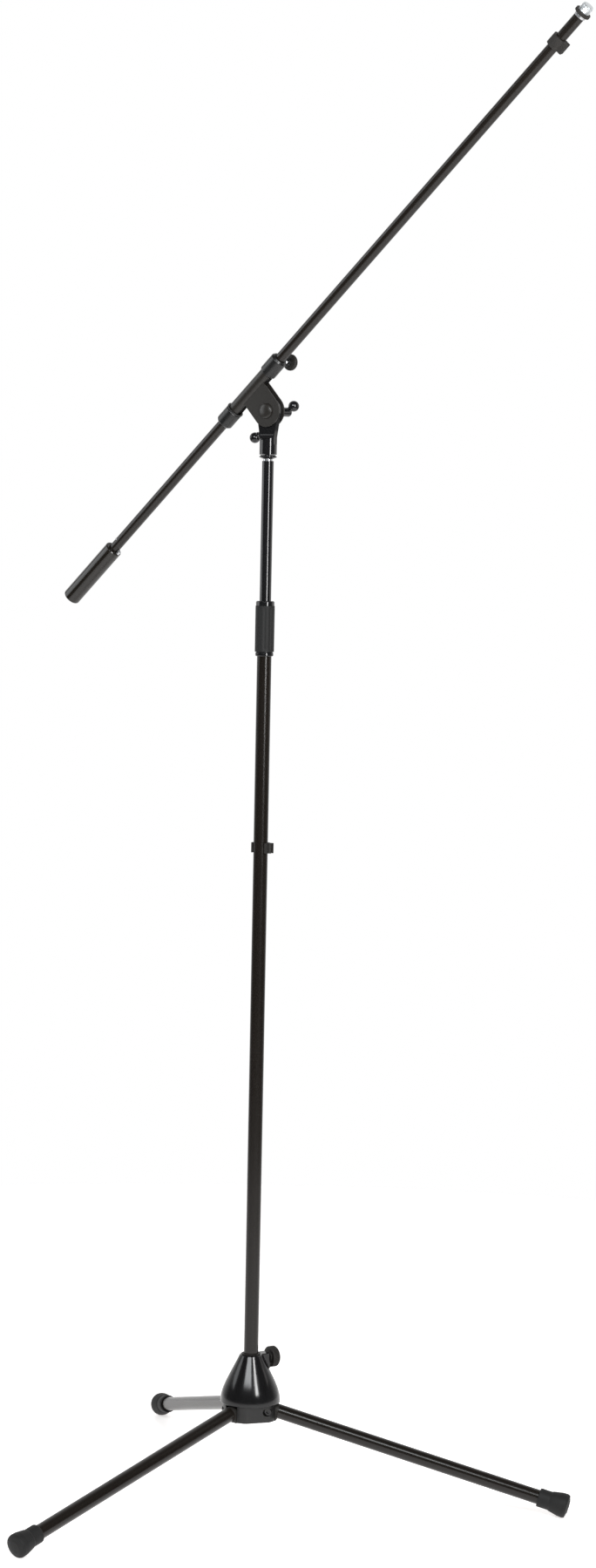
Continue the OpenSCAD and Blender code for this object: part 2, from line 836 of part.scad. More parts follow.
module at_stop_pin() {
    boom_frame() translate([stop_pin_s, 0, boom_offset]) rotate([stop_pin_tilt, 0, 0]) children();
}

module boom_stop_pin() {
    color(steel) at_stop_pin() rod(boom_bore_r - 1, stop_pin_reach, stop_pin_r);
}

module at_weight_screw() {
    boom_axis() translate([weight_screw_pos, 0, -boom_tail + weight_length]) children();
}

module counterweight() {
    a = -boom_tail;
    b = a + weight_length;
    r = weight_d / 2;
    c = weight_round;
    arc = [for (q = [0 : 15 : 90]) [r - c + c * sin(q), a + c * (1 - cos(q))]];
    color(satin_black) difference() {
        boom_axis() turned(concat([[0, a]], arc, [[r, b - 1.5], [r - 1.5, b], [0, b]]));
        boom_axis() rod(boom_tube_s0 - fit, b + 1, boom_r + fit);
        at_weight_screw() rod(-weight_screw_depth - 1, 1, weight_screw_r + fit);
    }
}

module counterweight_screw() {
    color(steel) at_weight_screw() union() {
        rod(-weight_screw_depth, 1, weight_screw_r);
        rod(fit, weight_screw_head_h, weight_screw_head_r);
    }
}

base_bell();
leg_hub();
mast_guide_bush();
clamp_shoe();
leg_screws();
hub_screws();
base_knob();
base_knob_screw();
leg_tube_right();
leg_tube_rear();
leg_tube_left();
leg_knuckle_right();
leg_knuckle_rear();
leg_knuckle_left();
leg_foot_right();
leg_foot_rear();
leg_foot_left();
mast_tube();
mast_end_plug();
mast_cable_clip();
clutch_body();
clutch_collet();
clutch_nut();
clutch_grip();
upper_rod();
rod_guide_bush();
rod_stud();
head_lock_nut();
swivel_head();
boom_clamp_bracket();
boom_liner();
friction_discs();
pivot_bolt();
pivot_washer();
upper_collar();
lower_collar();
tilt_nut();
tommy_bar();
bar_ball_upper();
bar_ball_lower();
boom_knob();
boom_knob_screw();
boom_tube();
boom_thread_stud();
thread_adapter();
boom_cable_clip();
boom_stop_pin();
counterweight();
counterweight_screw();
lock_ring();
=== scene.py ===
import json
import math

import bmesh
import bpy
from mathutils import Matrix, Vector

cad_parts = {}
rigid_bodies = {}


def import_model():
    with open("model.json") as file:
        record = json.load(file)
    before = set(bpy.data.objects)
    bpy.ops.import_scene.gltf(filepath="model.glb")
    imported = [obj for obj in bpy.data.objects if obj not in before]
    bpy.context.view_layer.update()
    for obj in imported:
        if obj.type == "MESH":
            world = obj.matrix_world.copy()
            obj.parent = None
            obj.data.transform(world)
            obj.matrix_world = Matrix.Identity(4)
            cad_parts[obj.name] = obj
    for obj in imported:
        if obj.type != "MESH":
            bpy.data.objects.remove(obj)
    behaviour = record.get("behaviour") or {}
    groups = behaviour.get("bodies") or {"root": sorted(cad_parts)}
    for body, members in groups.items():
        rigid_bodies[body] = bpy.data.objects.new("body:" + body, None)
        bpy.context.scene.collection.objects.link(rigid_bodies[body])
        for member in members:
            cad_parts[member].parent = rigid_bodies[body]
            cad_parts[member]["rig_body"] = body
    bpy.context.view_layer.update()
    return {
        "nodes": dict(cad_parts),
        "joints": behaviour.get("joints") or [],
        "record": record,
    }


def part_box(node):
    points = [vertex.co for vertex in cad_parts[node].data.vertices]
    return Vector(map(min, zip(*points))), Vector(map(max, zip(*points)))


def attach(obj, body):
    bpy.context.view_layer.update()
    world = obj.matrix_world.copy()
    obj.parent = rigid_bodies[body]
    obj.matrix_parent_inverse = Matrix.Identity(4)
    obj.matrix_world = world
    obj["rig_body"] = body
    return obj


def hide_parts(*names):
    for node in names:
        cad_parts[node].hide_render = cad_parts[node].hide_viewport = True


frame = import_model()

# Looks of the boom microphone stand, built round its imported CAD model. Metres, +Z up.

MM = 0.001
TAU = 2 * math.pi
TINY = 1e-7
UP = Vector((0, 0, 1))
EAST = Vector((1, 0, 0))
JOINTS = {joint["name"]: joint for joint in frame["joints"]}
COLOURS = {entry["slot"]: entry["base_color"] for entry in frame["record"]["materials"]}


# ---- Placements: frames whose local Z is a part's own axis ----

def joint_point(name):
    return Vector(JOINTS[name]["pos_m"])


def joint_axis(name):
    return Vector(JOINTS[name]["axis"])


def place(origin, axis, side):
    """A placement with local Z along axis and local X towards side."""
    along = Vector(axis).normalized()
    across = Vector(side)
    across -= along * along.dot(across)
    across.normalize()
    turn = Matrix((across, along.cross(across), along)).transposed()
    return Matrix.Translation(origin) @ turn.to_4x4()


def place_on_joint(name, side):
    return place(joint_point(name), joint_axis(name), side)


def place_on_leg(side):
    """From a leg's hinge pin towards its foot; local X points up."""
    pin = joint_point(f"leg_{side}_fold")
    tube_mesh = frame["nodes"][f"leg_tube_{side}"].data
    corners = {tuple(round(c, 6) for c in v.co) for v in tube_mesh.vertices}
    middle = sum((Vector(c) for c in corners), Vector()) / len(corners)
    return place(pin, middle - pin, UP)


def place_on_bar():
    """Along the tommy bar, from where it crosses the tilt axis."""
    lowest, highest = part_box("tommy_bar")
    crossing = joint_point("boom_tilt")
    crossing.y = (lowest.y + highest.y) / 2
    return place(crossing, joint_axis("tommy_bar_slide"), UP)


def place_on_boom():
    """On the boom's axis beside the tilt axis; local X points away from the tilt axis."""
    along = joint_axis("boom_slide")
    on_boom = joint_point("lock_ring_turn")
    pivot = joint_point("boom_tilt")
    beside = on_boom + along * along.dot(pivot - on_boom)
    return place(beside, along, beside - pivot)


COLUMN = place((0, 0, 0), UP, EAST)
BOOM = place_on_boom()
TILT = place(joint_point("boom_tilt"), -joint_axis("boom_tilt"), EAST)
BAR = place_on_bar()
BASE_KNOB = place_on_joint("base_knob_turn", UP)
BOOM_KNOB = place_on_joint("boom_knob_turn", UP)
LEGS = {side: place_on_leg(side) for side in ("right", "rear", "left")}


def extent(node, placement):
    """A CAD node's low and high end along the placement's Z, then its least and greatest radius."""
    inverse = placement.inverted()
    points = [inverse @ v.co for v in frame["nodes"][node].data.vertices]
    heights = [p.z for p in points]
    radii = [p.xy.length for p in points]
    return min(heights), max(heights), min(radii), max(radii)


# ---- Materials ----

class Finish:
    """A procedural material being put together on object coordinates."""

    def __init__(self, slot, roughness, metallic=0.0, specular=0.5):
        self.material = bpy.data.materials.new(slot + "_finish")
        self.material.use_nodes = True
        self.tree = self.material.node_tree
        self.shader = self.tree.nodes["Principled BSDF"]
        self.colour = COLOURS[slot]
        self.shader.inputs["Base Color"].default_value = (*self.colour, 1)
        self.shader.inputs["Roughness"].default_value = roughness
        self.shader.inputs["Metallic"].default_value = metallic
        self.shader.inputs["Specular IOR Level"].default_value = specular
        self.where = self.add("TexCoord").outputs["Object"]
        self.normal = None

    def add(self, kind, inputs=None, **settings):
        node = self.tree.nodes.new("ShaderNode" + kind)
        for name, value in settings.items():
            setattr(node, name, value)
        for name, value in (inputs or {}).items():
            if isinstance(value, bpy.types.NodeSocket):
                self.tree.links.new(value, node.inputs[name])
            else:
                node.inputs[name].default_value = value
        return node

    def noise(self, size, detail=2.0, stretch=1.0, roughness=0.5):
        """Noise with grains of this size, drawn out along local Z by stretch."""
        mapping = self.add("Mapping", {"Vector": self.where, "Scale": (1, 1, 1 / stretch)})
        drawn_out = mapping.outputs[0]
        wave = {"Vector": drawn_out, "Scale": 1 / size, "Detail": detail, "Roughness": roughness}
        return self.add("TexNoise", wave).outputs["Fac"]

    def cells(self, size):
        """Distance to the middle of random cells of this size."""
        return self.add("TexVoronoi", {"Vector": self.where, "Scale": 1 / size}).outputs["Distance"]

    def levels(self, value, low, high, bottom, top):
        """The value's range from low to high stretched to run from bottom to top."""
        span = {"Value": value, "From Min": low, "From Max": high, "To Min": bottom, "To Max": top}
        return self.add("MapRange", span).outputs["Result"]

    def math(self, operation, first, second):
        node = self.add("Math", operation=operation)
        for socket, value in zip(node.inputs, (first, second)):
            if isinstance(value, bpy.types.NodeSocket):
                self.tree.links.new(value, socket)
            else:
                socket.default_value = value
        return node.outputs[0]

    def blend(self, factor, first, second):
        node = self.add("Mix", {"Factor": factor}, data_type="RGBA")
        for socket, value in zip((node.inputs[6], node.inputs[7]), (first, second)):
            if isinstance(value, bpy.types.NodeSocket):
                self.tree.links.new(value, socket)
            else:
                socket.default_value = (*value, 1)
        return node.outputs[2]

    def shade(self, share, warmth=0.0):
        """The base colour made darker or lighter, and redder by its warmth."""
        red, green, blue = (c * share for c in self.colour)
        return red * (1 + warmth), green, blue * (1 - warmth)

    def worn(self):
        """How far a point is rubbed: high on rounded edges, in patches."""
        edge = self.add("Attribute", attribute_name="wear").outputs["Fac"]
        patches = self.levels(self.noise(4 * MM, 4), 0.45, 0.65, 0.0, 1.0)
        return self.math("MULTIPLY", edge, patches)

    def paint(self, colour):
        self.tree.links.new(colour, self.shader.inputs["Base Color"])

    def roughen(self, value):
        self.tree.links.new(value, self.shader.inputs["Roughness"])

    def bump(self, height, depth, strength=1.0):
        """Adds relief of this depth on top of what is there."""
        node = self.add("Bump", {"Height": height, "Distance": depth, "Strength": strength})
        if self.normal:
            self.tree.links.new(self.normal, node.inputs["Normal"])
        self.normal = node.outputs[0]
        self.tree.links.new(self.normal, self.shader.inputs["Normal"])


def satin_tube():
    """Satin powder coat on steel tube: a fine orange peel and faint lengthwise scuffs."""
    finish = Finish("satin_tube", 0.27, specular=0.4)
    drift = finish.noise(60 * MM, 3, stretch=3)
    scuffs = finish.levels(finish.noise(0.7 * MM, 3, stretch=60), 0.6, 0.85, 0.0, 1.0)
    base = finish.blend(drift, finish.shade(0.2, 0.2), finish.shade(0.3, 0.2))
    finish.paint(finish.blend(finish.math("MULTIPLY", scuffs, 0.2), base, finish.shade(0.7)))
    even = finish.levels(drift, 0.3, 0.7, 0.2, 0.25)
    finish.roughen(finish.math("ADD", even, finish.math("MULTIPLY", scuffs, 0.05)))
    finish.bump(finish.noise(1.1 * MM, 3), 0.003 * MM)
    return finish.material


def gloss_black():
    """High gloss black lacquer with a soft ripple and a few dull specks."""
    finish = Finish("gloss_black", 0.08, specular=0.5)
    specks = finish.levels(finish.noise(0.35 * MM, 2), 0.7, 0.82, 0.0, 1.0)
    drift = finish.noise(18 * MM, 3, stretch=3)
    finish.paint(finish.blend(drift, finish.shade(0.6), finish.shade(0.9)))
    even = finish.levels(drift, 0.3, 0.7, 0.07, 0.1)
    finish.roughen(finish.math("ADD", even, finish.math("MULTIPLY", specks, 0.06)))
    finish.bump(finish.noise(4 * MM, 1, stretch=3), 0.004 * MM)
    return finish.material


def gloss_casting():
    """Gloss powder coat on a casting: deeper orange peel than the lacquered parts."""
    finish = Finish("gloss_casting", 0.15, specular=0.5)
    drift = finish.noise(22 * MM, 3)
    finish.paint(finish.blend(drift, finish.shade(0.45), finish.shade(0.65)))
    worn = finish.worn()
    even = finish.levels(drift, 0.3, 0.7, 0.14, 0.18)
    finish.roughen(finish.math("ADD", even, finish.math("MULTIPLY", worn, 0.08)))
    finish.bump(finish.noise(1.6 * MM, 2), 0.004 * MM)
    finish.bump(finish.noise(9 * MM, 1), 0.02 * MM)
    return finish.material


def satin_casting():
    """Satin black casting: fine sandy grain, edges rubbed a little brighter."""
    finish = Finish("satin_casting", 0.3, specular=0.45)
    drift = finish.noise(12 * MM, 4)
    base = finish.blend(drift, finish.shade(0.2), finish.shade(0.32))
    worn = finish.worn()
    finish.paint(finish.blend(finish.math("MULTIPLY", worn, 0.3), base, finish.shade(0.9)))
    even = finish.levels(drift, 0.3, 0.7, 0.27, 0.33)
    finish.roughen(finish.math("SUBTRACT", even, finish.math("MULTIPLY", worn, 0.06)))
    finish.bump(finish.noise(0.5 * MM, 4), 0.006 * MM)
    return finish.material


def satin_sheet():
    """Satin coat on pressed sheet: smooth, with a faint ripple and rubbed edges."""
    finish = Finish("satin_sheet", 0.32, specular=0.4)
    drift = finish.noise(30 * MM, 2)
    base = finish.blend(drift, finish.shade(0.34, 0.12), finish.shade(0.4, 0.12))
    worn = finish.worn()
    finish.paint(finish.blend(finish.math("MULTIPLY", worn, 0.3), base, finish.shade(0.9)))
    finish.roughen(finish.levels(drift, 0.3, 0.7, 0.31, 0.34))
    finish.bump(finish.noise(0.9 * MM, 3), 0.003 * MM)
    return finish.material


def satin_weight():
    """Coated solid steel, turned smooth before coating: fine lathe lines and a tight sheen."""
    finish = Finish("satin_weight", 0.18, specular=0.5)
    lines = finish.noise(0.25 * MM, 2, stretch=0.2)
    drift = finish.noise(20 * MM, 3)
    finish.paint(finish.blend(drift, finish.shade(0.28, 0.2), finish.shade(0.38, 0.2)))
    finish.roughen(finish.levels(drift, 0.3, 0.7, 0.16, 0.2))
    finish.bump(lines, 0.001 * MM)
    finish.bump(finish.noise(1.3 * MM, 2), 0.002 * MM)
    return finish.material


def matte_plastic():
    """Moulded black nylon: spark-eroded grain, slightly polished on the edges."""
    finish = Finish("matte_plastic", 0.55, specular=0.35)
    drift = finish.noise(8 * MM, 4)
    worn = finish.worn()
    base = finish.blend(drift, finish.shade(0.24, 0.12), finish.shade(0.36, 0.12))
    finish.paint(finish.blend(finish.math("MULTIPLY", worn, 0.3), base, finish.shade(0.7)))
    even = finish.levels(drift, 0.3, 0.7, 0.5, 0.6)
    finish.roughen(finish.math("SUBTRACT", even, finish.math("MULTIPLY", worn, 0.12)))
    finish.bump(finish.cells(0.35 * MM), 0.008 * MM)
    finish.bump(finish.noise(0.2 * MM, 3), 0.005 * MM)
    return finish.material


def rubber():
    """Black rubber: dull, dusty in patches, with a few pale specks and a fine moulded grain."""
    finish = Finish("rubber", 0.68, specular=0.35)
    dust = finish.levels(finish.noise(6 * MM, 5, roughness=0.65), 0.45, 0.75, 0.0, 0.3)
    specks = finish.levels(finish.noise(0.4 * MM, 2), 0.68, 0.8, 0.0, 0.3)
    base = finish.blend(dust, finish.shade(0.17), finish.shade(0.4))
    finish.paint(finish.blend(specks, base, finish.shade(0.9)))
    finish.roughen(finish.levels(dust, 0.0, 0.5, 0.62, 0.76))
    finish.bump(finish.noise(0.3 * MM, 3), 0.008 * MM)
    return finish.material


def bright_steel():
    """Zinc plated steel: turned lines round the axis and a cloudy plating."""
    finish = Finish("bright_steel", 0.28, metallic=0.85)
    clouds = finish.noise(3 * MM, 4)
    lines = finish.noise(0.3 * MM, 2, stretch=0.15)
    finish.paint(finish.blend(clouds, finish.shade(0.65), finish.shade(0.85)))
    finish.roughen(finish.levels(clouds, 0.3, 0.7, 0.2, 0.32))
    finish.bump(lines, 0.003 * MM)
    return finish.material


def bright_zinc():
    """Nickel plated zinc: a brighter metal with a faint grain and no turned lines."""
    finish = Finish("bright_zinc", 0.28, metallic=0.7)
    clouds = finish.noise(2.5 * MM, 3)
    finish.paint(finish.blend(clouds, finish.shade(0.75), finish.shade(0.95)))
    finish.roughen(finish.levels(clouds, 0.3, 0.7, 0.22, 0.34))
    finish.bump(finish.noise(0.5 * MM, 2), 0.003 * MM)
    return finish.material


def inner_plastic():
    """Nylon of the bushes and liners, its natural grey darkened to nearly black as painted shade for
    the gap between the boom wrap and the plates.
    """
    finish = Finish("inner_plastic", 0.5, specular=0.3)
    drift = finish.noise(5 * MM, 4)
    # Painted shade: both tones are set nearly black so that the liner's edge in the clamp's gap reads
    # as shade, not as grey nylon.
    finish.paint(finish.blend(drift, finish.shade(0.06), finish.shade(0.09)))
    finish.roughen(finish.levels(drift, 0.3, 0.7, 0.42, 0.58))
    finish.bump(finish.cells(0.5 * MM), 0.005 * MM)
    return finish.material


FINISHES = {
    make.__name__: make()
    for make in (
        satin_tube, gloss_black, gloss_casting, satin_casting, satin_sheet, satin_weight,
        matte_plastic, rubber, bright_steel, bright_zinc, inner_plastic,
    )
}


# ---- Mesh helpers ----

ARC_STEPS = 4
BEVEL_STEPS = 3
SLIGHT_TURN = math.radians(8)
BEVELLED_TURN = math.radians(28)
SHARP_TURN = math.radians(38)
FLAT_TURN = math.radians(0.3)
WELD_DISTANCE = 0.002 * MM
TUBE_STEP = 25 * MM
OUTERMOST = 0.9


def soften(corners, fillet):
    """An outline of (radius, height) corners with each one turned into a small arc.

    It runs from axis to axis, or round a loop that stays off the axis. Each point made is
    (radius, height, wear), where wear is 1 in the middle of an arc and 0 elsewhere.
    """
    corners = [Vector(corner) for corner in corners]
    loop = corners[0].x > TINY
    made = []
    for i, corner in enumerate(corners):
        if not loop and i in (0, len(corners) - 1):
            made.append((corner.x, corner.y, 0.0))
            continue
        back = corners[i - 1] - corner
        ahead = corners[(i + 1) % len(corners)] - corner
        turn = math.pi - back.angle(ahead)
        if turn < SLIGHT_TURN:
            made.append((corner.x, corner.y, 0.0))
            continue
        reach = min(fillet * math.tan(turn / 2), 0.45 * back.length, 0.45 * ahead.length)
        start = corner + back.normalized() * reach
        end = corner + ahead.normalized() * reach
        for k in range(ARC_STEPS + 1):
            t = k / ARC_STEPS
            point = start.lerp(corner, t).lerp(corner.lerp(end, t), t)
            made.append((point.x, point.y, math.sin(math.pi * t)))
    return made


def divide(outline, step):
    """The outline with no stretch longer than step."""
    loop = outline[0][0] > TINY
    made = []
    for i, here in enumerate(outline):
        made.append(here)
        if i == len(outline) - 1 and not loop:
            break
        there = outline[(i + 1) % len(outline)]
        parts = math.ceil(math.dist(here[:2], there[:2]) / step)
        for k in range(1, parts):
            t = k / parts
            made.append(((1 - t) * here[0] + t * there[0], (1 - t) * here[1] + t * there[1], 0.0))
    return made


def new_object(name, shape, placement=COLUMN):
    """A linked object from a bmesh, smooth except across sharp edges."""
    mesh = bpy.data.meshes.new(name)
    shape.to_mesh(mesh)
    shape.free()
    mesh.shade_smooth()
    mesh.set_sharp_from_angle(angle=SHARP_TURN)
    made = bpy.data.objects.new(name, mesh)
    made.matrix_world = placement
    bpy.context.scene.collection.objects.link(made)
    return made


def lathe(name, placement, outline, segments=96, relief=None):
    """Turns an outline about the placement's Z.

    relief(angle, height, radius), if given, says how far out each point of a ring lies.
    """
    shape = bmesh.new()
    wear = shape.verts.layers.float.new("wear")
    rings = []
    for radius, height, rubbed in outline:
        around = segments if radius > TINY else 1
        ring = []
        for k in range(around):
            angle = TAU * k / around
            reach = relief(angle, height, radius) if relief and around > 1 else radius
            vertex = shape.verts.new((reach * math.cos(angle), reach * math.sin(angle), height))
            vertex[wear] = rubbed
            ring.append(vertex)
        rings.append(ring)
    pairs = list(zip(rings, rings[1:]))
    if outline[0][0] > TINY:
        pairs.append((rings[-1], rings[0]))
    for low, high in pairs:
        for k in range(segments):
            corners = (
                low[k % len(low)], low[(k + 1) % len(low)],
                high[(k + 1) % len(high)], high[k % len(high)],
            )
            corners = tuple(dict.fromkeys(corners))
            if len(corners) > 2:
                shape.faces.new(corners)
    bmesh.ops.recalc_face_normals(shape, faces=shape.faces)
    return new_object(name, shape, placement)


def refined(name, node, bevel):
    """A copy of a CAD node's mesh, cleaned up, with its sharp edges rounded and marked as wear."""
    mesh = frame["nodes"][node].data.copy()
    if "custom_normal" in mesh.attributes:
        mesh.attributes.remove(mesh.attributes["custom_normal"])
    shape = bmesh.new()
    shape.from_mesh(mesh)
    bpy.data.meshes.remove(mesh)
    bmesh.ops.remove_doubles(shape, verts=shape.verts, dist=WELD_DISTANCE)
    bmesh.ops.dissolve_limit(shape, angle_limit=FLAT_TURN, verts=shape.verts, edges=shape.edges)
    wear = shape.verts.layers.float.new("wear")
    edges = [e for e in shape.edges if e.is_manifold and e.calc_face_angle() > BEVELLED_TURN]
    result = bmesh.ops.bevel(
        shape, geom=edges, offset=bevel, segments=BEVEL_STEPS, profile=0.5, affect="EDGES",
        clamp_overlap=True,
    )
    bevelled = set(result["faces"])
    for vertex in result["verts"]:
        vertex[wear] = 1.0 if bevelled.issuperset(vertex.link_faces) else 0.0
    return new_object(name, shape)


def combine(piece, other, operation):
    """Fuses the other object to a piece, or cuts it out of it, and removes it."""
    bpy.context.view_layer.update()
    modifier = piece.modifiers.new("combine", "BOOLEAN")
    modifier.object = other
    modifier.operation = operation
    modifier.solver = "EXACT"
    graph = bpy.context.evaluated_depsgraph_get()
    mesh = bpy.data.meshes.new_from_object(piece.evaluated_get(graph), depsgraph=graph)
    piece.modifiers.clear()
    piece.data = mesh
    mesh.shade_smooth()
    mesh.set_sharp_from_angle(angle=SHARP_TURN)
    bpy.data.objects.remove(other)


def ribs(count, depth, low, high, reach, fade=0.6 * MM, power=1.0):
    """Relief of lengthwise hollows between two heights, on the surface that is nearly reach out."""
    def relief(angle, height, radius):
        if radius < OUTERMOST * reach:
            return radius
        ends = min(1.0, max(0.0, (height - low) / fade), max(0.0, (high - height) / fade))
        return radius - depth * ends * (0.5 - 0.5 * math.cos(count * angle)) ** power
    return relief


def thread(pitch, depth, low, high, reach):
    """Relief of a screw thread between two heights, on the surface that is nearly reach out."""
    def relief(angle, height, radius):
        if radius < OUTERMOST * reach or not low < height < high:
            return radius
        turn = (angle / TAU + height / pitch) % 1.0
        ends = min(1.0, (height - low) / pitch, (high - height) / pitch)
        return radius - depth * ends * abs(2 * turn - 1)
    return relief


def stands_for(piece, *nodes):
    """The piece takes the place, finish and body of these CAD nodes."""
    source = frame["nodes"][nodes[0]]
    slot = source.data.materials[0].name
    piece.data.materials.clear()
    piece.data.materials.append(FINISHES[slot])
    even = piece.modifiers.new("even_normals", "WEIGHTED_NORMAL")
    even.keep_sharp = True
    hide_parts(*nodes)
    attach(piece, source["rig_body"])


def rounded(node, bevel):
    """The node's own shape with its sharp edges rounded."""
    stands_for(refined(node + "_visual", node, bevel), node)


def turned(node, placement, outline, segments=96, relief=None):
    """A turned piece that stands for one CAD node."""
    stands_for(lathe(node + "_visual", placement, outline, segments, relief), node)


def bored(low, high, inner, outer):
    """The four corners of a plain sleeve."""
    return [(inner, low), (outer, low), (outer, high), (inner, high)]


# ---- Tubes ----

def tube(node, placement):
    """A plain tube with softened rims."""
    low, high, inner, outer = extent(node, placement)
    turned(node, placement, divide(soften(bored(low, high, inner, outer), 0.35 * MM), TUBE_STEP))


# ---- Base ----

def bezier(points, t):
    """The point at share t of a cubic curve with these four control points."""
    first, second, third, last = (Vector(p) for p in points)
    s = 1 - t
    return s ** 3 * first + 3 * s * s * t * second + 3 * s * t * t * third + t ** 3 * last


def smooth_greatest(first, second, blend):
    """The greater of two lengths, eased over a short blend where they are close."""
    share = max(0.0, 1 - abs(first - second) / blend)
    return max(first, second) + share * share * blend / 4


def base_bell():
    """The bell, with its lug for the clamp screw grown out of its side."""
    low, high, bore, outer = extent("base_bell", COLUMN)
    wall = 3.3 * MM
    lug_low = high - 23 * MM
    knob_start = joint_point("base_knob_turn").xy.length + extent("base_knob", BASE_KNOB)[0]
    lug_reach = knob_start - 0.8 * MM
    lug_half = 7.5 * MM
    lug_turn = math.pi / 2.2
    socket_low = high - 40 * MM
    cavity_high = high - 32 * MM
    crown = extent("mast_guide_bush", COLUMN)[3] + 1.7 * MM
    rim = (crown + 1.1 * MM, high - 1.5 * MM)
    height = rim[1] - low
    curve = [
        (outer, low), (outer, low + 0.294 * height), (0.765 * outer, low + 0.492 * height), rim,
    ]
    steps = 48
    side = [tuple(bezier(curve, k / steps)) for k in range(steps + 1)]
    lip = 0.7 * MM
    inside = [(r - wall, z) for r, z in side if z < cavity_high]
    outline = [(bore, high - 0.5 * MM), (bore, socket_low)] + inside[::-1]
    outline += [(outer - lip, low), (outer, low + lip)] + side[2:] + [(crown, high - 0.5 * MM)]
    azimuth = math.atan2(joint_axis("base_knob_turn").y, joint_axis("base_knob_turn").x)

    def lug(angle, z, radius):
        turn = math.remainder(angle - azimuth, TAU)
        if abs(turn) > lug_turn or z < lug_low or radius < crown - 0.1 * MM:
            return radius
        flank = lug_half / max(abs(math.sin(turn)), TINY)
        face = lug_reach / math.cos(turn)
        drawn_in = max(0.0, rim[0] - radius) if z > rim[1] - TINY else 0.0
        return smooth_greatest(radius, min(flank, face) - drawn_in, 1.6 * MM)

    turned("base_bell", COLUMN, divide(soften(outline, 0.5 * MM), 3 * MM), 360, lug)


def mast_guide_bush():
    """A flanged bush in the bell's mouth, bored for the mast."""
    low, high, bore, flange = extent("mast_guide_bush", COLUMN)
    body = flange - 1.05 * MM
    seat = high - 1 * MM
    outline = [
        (bore, low), (body, low), (body, seat), (flange, seat), (flange, high),
        (bore + 0.5 * MM, high), (bore, high - 0.5 * MM),
    ]
    turned("mast_guide_bush", COLUMN, soften(outline, 0.3 * MM))


def base_knob():
    """A moulded hand knob: ribbed rim, dished outer face and a round cap in its middle."""
    low, high, _, outer = extent("base_knob", BASE_KNOB)
    hub = 8 * MM
    back = low + 1.5 * MM
    dish = high - 1.6 * MM
    cap = 6.5 * MM
    outline = [
        (0, low), (hub, low), (hub, back + 0.6 * MM), (outer - 3.5 * MM, back),
        (outer - 1.4 * MM, back), (outer, back + 1.4 * MM), (outer, high - 1.4 * MM),
        (outer - 1.4 * MM, high), (outer - 3.2 * MM, high), (outer - 4.4 * MM, dish),
        (cap + 0.8 * MM, dish), (cap, high - 0.7 * MM), (0, high - 0.4 * MM),
    ]
    rim = ribs(48, 0.55 * MM, back + 0.9 * MM, high - 0.9 * MM, outer)
    turned("base_knob", BASE_KNOB, divide(soften(outline, 0.5 * MM), 1.5 * MM), 384, rim)


def threaded_pin(node, placement, pitch):
    """A plain screw, threaded all the way."""
    low, high, _, outer = extent(node, placement)
    lead = 0.8 * MM
    outline = [(0, low), (outer - lead, low), (outer, low + lead), (outer, high), (0, high)]
    relief = thread(pitch, 0.45 * pitch, low + lead, high - lead, outer)
    turned(node, placement, divide(soften(outline, 0.1 * MM), pitch / 8), 48, relief)


def leg_foot(side):
    """A rubber foot: a plain collar, a step, and a fuller nose with a crowned end, flat below."""
    node = f"leg_foot_{side}"
    placement = LEGS[side]
    _, tip, _, nose = extent(node, placement)
    bore = extent(f"leg_tube_{side}", placement)[3] + 0.05 * MM
    sole = 7 * MM
    length = 41 * MM
    end = extent(f"leg_tube_{side}", placement)[1] + sole
    start = end - length
    collar = 12.9 * MM
    neck = 13.9 * MM
    inside = end - sole
    outline = [
        (0, inside), (bore, inside), (bore, start), (collar, start), (collar, start + 16.5 * MM),
        (neck, start + 18.5 * MM), (nose - 0.3 * MM, end - 10 * MM), (nose, end - 3.2 * MM),
        (nose - 1.2 * MM, end), (nose / 2, tip - 0.5 * MM), (0, tip),
    ]
    piece = lathe(node + "_visual", placement, divide(soften(outline, 1.2 * MM), 2 * MM), 120)
    inverse = placement.inverted()
    for vertex in piece.data.vertices:
        point = placement @ vertex.co
        if point.z < 0:
            point.z = 0
            vertex.co = inverse @ point
    stands_for(piece, node)


# ---- Column ----

def clutch_body():
    """The clutch's lower half: a ring round the mast's top and a neck inside the nut."""
    low, high, bore, ring = extent("clutch_body", COLUMN)
    neck = 11.2 * MM
    shoulder = low + 5.5 * MM
    outline = [
        (bore, low), (ring - 1 * MM, low), (ring, low + 1 * MM), (ring, shoulder - 1 * MM),
        (ring - 1 * MM, shoulder), (neck, shoulder), (neck, high), (bore, high),
    ]
    turned("clutch_body", COLUMN, soften(outline, 0.5 * MM), 128)


def clutch_nut():
    """The clutch's turning half: a sleeve under the grip and a stepped ring round the rod."""
    low, high, bore, ring = extent("clutch_nut", COLUMN)
    wall = extent("clutch_grip", COLUMN)[2]
    step = high - 6.5 * MM
    wide = extent("clutch_body", COLUMN)[3] - 0.9 * MM
    outline = [
        (wide, low), (wall, low), (wall, step), (ring, step), (ring, high - 1.2 * MM),
        (ring - 1.2 * MM, high), (bore + 0.4 * MM, high), (bore, high - 0.5 * MM),
        (bore, high - 4 * MM), (wide, high - 12 * MM),
    ]
    turned("clutch_nut", COLUMN, soften(outline, 0.45 * MM), 128)


def clutch_grip():
    """A rubber sleeve with broad flutes between flat lands."""
    low, high, bore, outer = extent("clutch_grip", COLUMN)
    outline = divide(soften(bored(low, high, bore, outer), 1.3 * MM), 2 * MM)
    flutes = ribs(10, 0.75 * MM, low + 1.5 * MM, high - 1.5 * MM, outer, fade=2.5 * MM, power=2.0)
    turned("clutch_grip", COLUMN, outline, 240, flutes)


